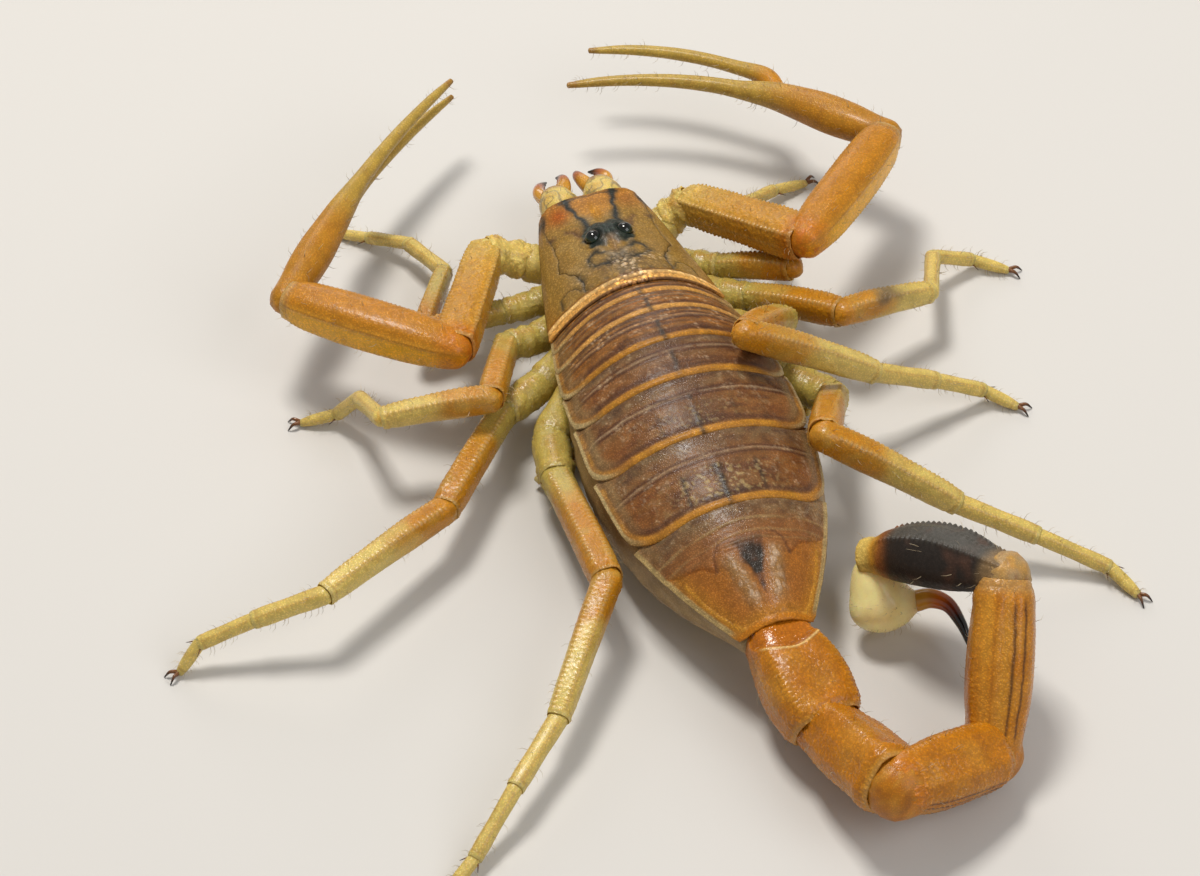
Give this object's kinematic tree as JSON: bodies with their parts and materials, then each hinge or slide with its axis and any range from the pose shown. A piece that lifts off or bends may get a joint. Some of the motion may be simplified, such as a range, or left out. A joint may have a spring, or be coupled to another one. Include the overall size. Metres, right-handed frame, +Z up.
{
  "type": "desert scorpion",
  "caption": "Life-size still model of a yellow desert scorpion standing with slim pincers held forward, a striped back, and its tail laid round to one side, with a dark last segment and sting.",
  "frame": {"origin": "on the floor, under the middle of the animal's overall box", "axes": "+Z up from the floor the animal stands on, +Y along the body towards the head, +X to the animal's right"},
  "size_m": [0.0591, 0.0632, 0.0113],
  "materials": {
    "carapace": "satin, finely granulated horny shell, tan with orange and dark patches",
    "tergites": "satin shell plates, mauve brown with orange rear bands",
    "underside": "satin, pale cream underside",
    "jaws": "satin, pale yellow",
    "jaw_tips": "glossy, dark red-brown",
    "legs": "satin, translucent yellow",
    "arms": "satin, amber orange with dotted ridges",
    "fingers": "satin, olive yellow",
    "tail": "semi-gloss, amber orange, finely granulated",
    "dark_tail_segment": "satin, charcoal grey",
    "venom_bulb": "semi-gloss, pale creamy yellow",
    "sting": "glossy, dark red-brown to black",
    "eye": "glossy, near black"
  },
  "bodies": {
    "root": {"abdomen_underside": "underside", "carapace": "carapace", "chelicera_finger_left": "jaw_tips", "chelicera_finger_right": "jaw_tips", "chelicera_left": "jaws", "chelicera_right": "jaws", "coxae": "underside", "eye_left": "eye", "eye_right": "eye", "leg_left_1_femur": "legs", "leg_left_1_foot": "legs", "leg_left_1_patella": "legs", "leg_left_2_femur": "legs", "leg_left_2_foot": "legs", "leg_left_2_patella": "legs", "leg_left_3_femur": "legs", "leg_left_3_foot": "legs", "leg_left_3_patella": "legs", "leg_left_4_femur": "legs", "leg_left_4_foot": "legs", "leg_left_4_patella": "legs", "leg_right_1_femur": "legs", "leg_right_1_foot": "legs", "leg_right_1_patella": "legs", "leg_right_2_femur": "legs", "leg_right_2_foot": "legs", "leg_right_2_patella": "legs", "leg_right_3_femur": "legs", "leg_right_3_foot": "legs", "leg_right_3_patella": "legs", "leg_right_4_femur": "legs", "leg_right_4_foot": "legs", "leg_right_4_patella": "legs", "pecten_left": "underside", "pecten_right": "underside", "pincer_left_femur": "arms", "pincer_left_finger": "fingers", "pincer_left_hand": "arms", "pincer_left_patella": "arms", "pincer_left_trochanter": "arms", "pincer_right_femur": "arms", "pincer_right_finger": "fingers", "pincer_right_hand": "arms", "pincer_right_patella": "arms", "pincer_right_trochanter": "arms", "tail_1": "tail", "tail_2": "tail", "tail_3": "tail", "tail_4": "tail", "tail_5": "dark_tail_segment", "tail_bulb": "venom_bulb", "tail_sting": "sting", "tergite_1": "tergites", "tergite_2": "tergites", "tergite_3": "tergites", "tergite_4": "tergites", "tergite_5": "tergites", "tergite_6": "tergites", "tergite_7": "tergites"}
  },
  "joints": []
}
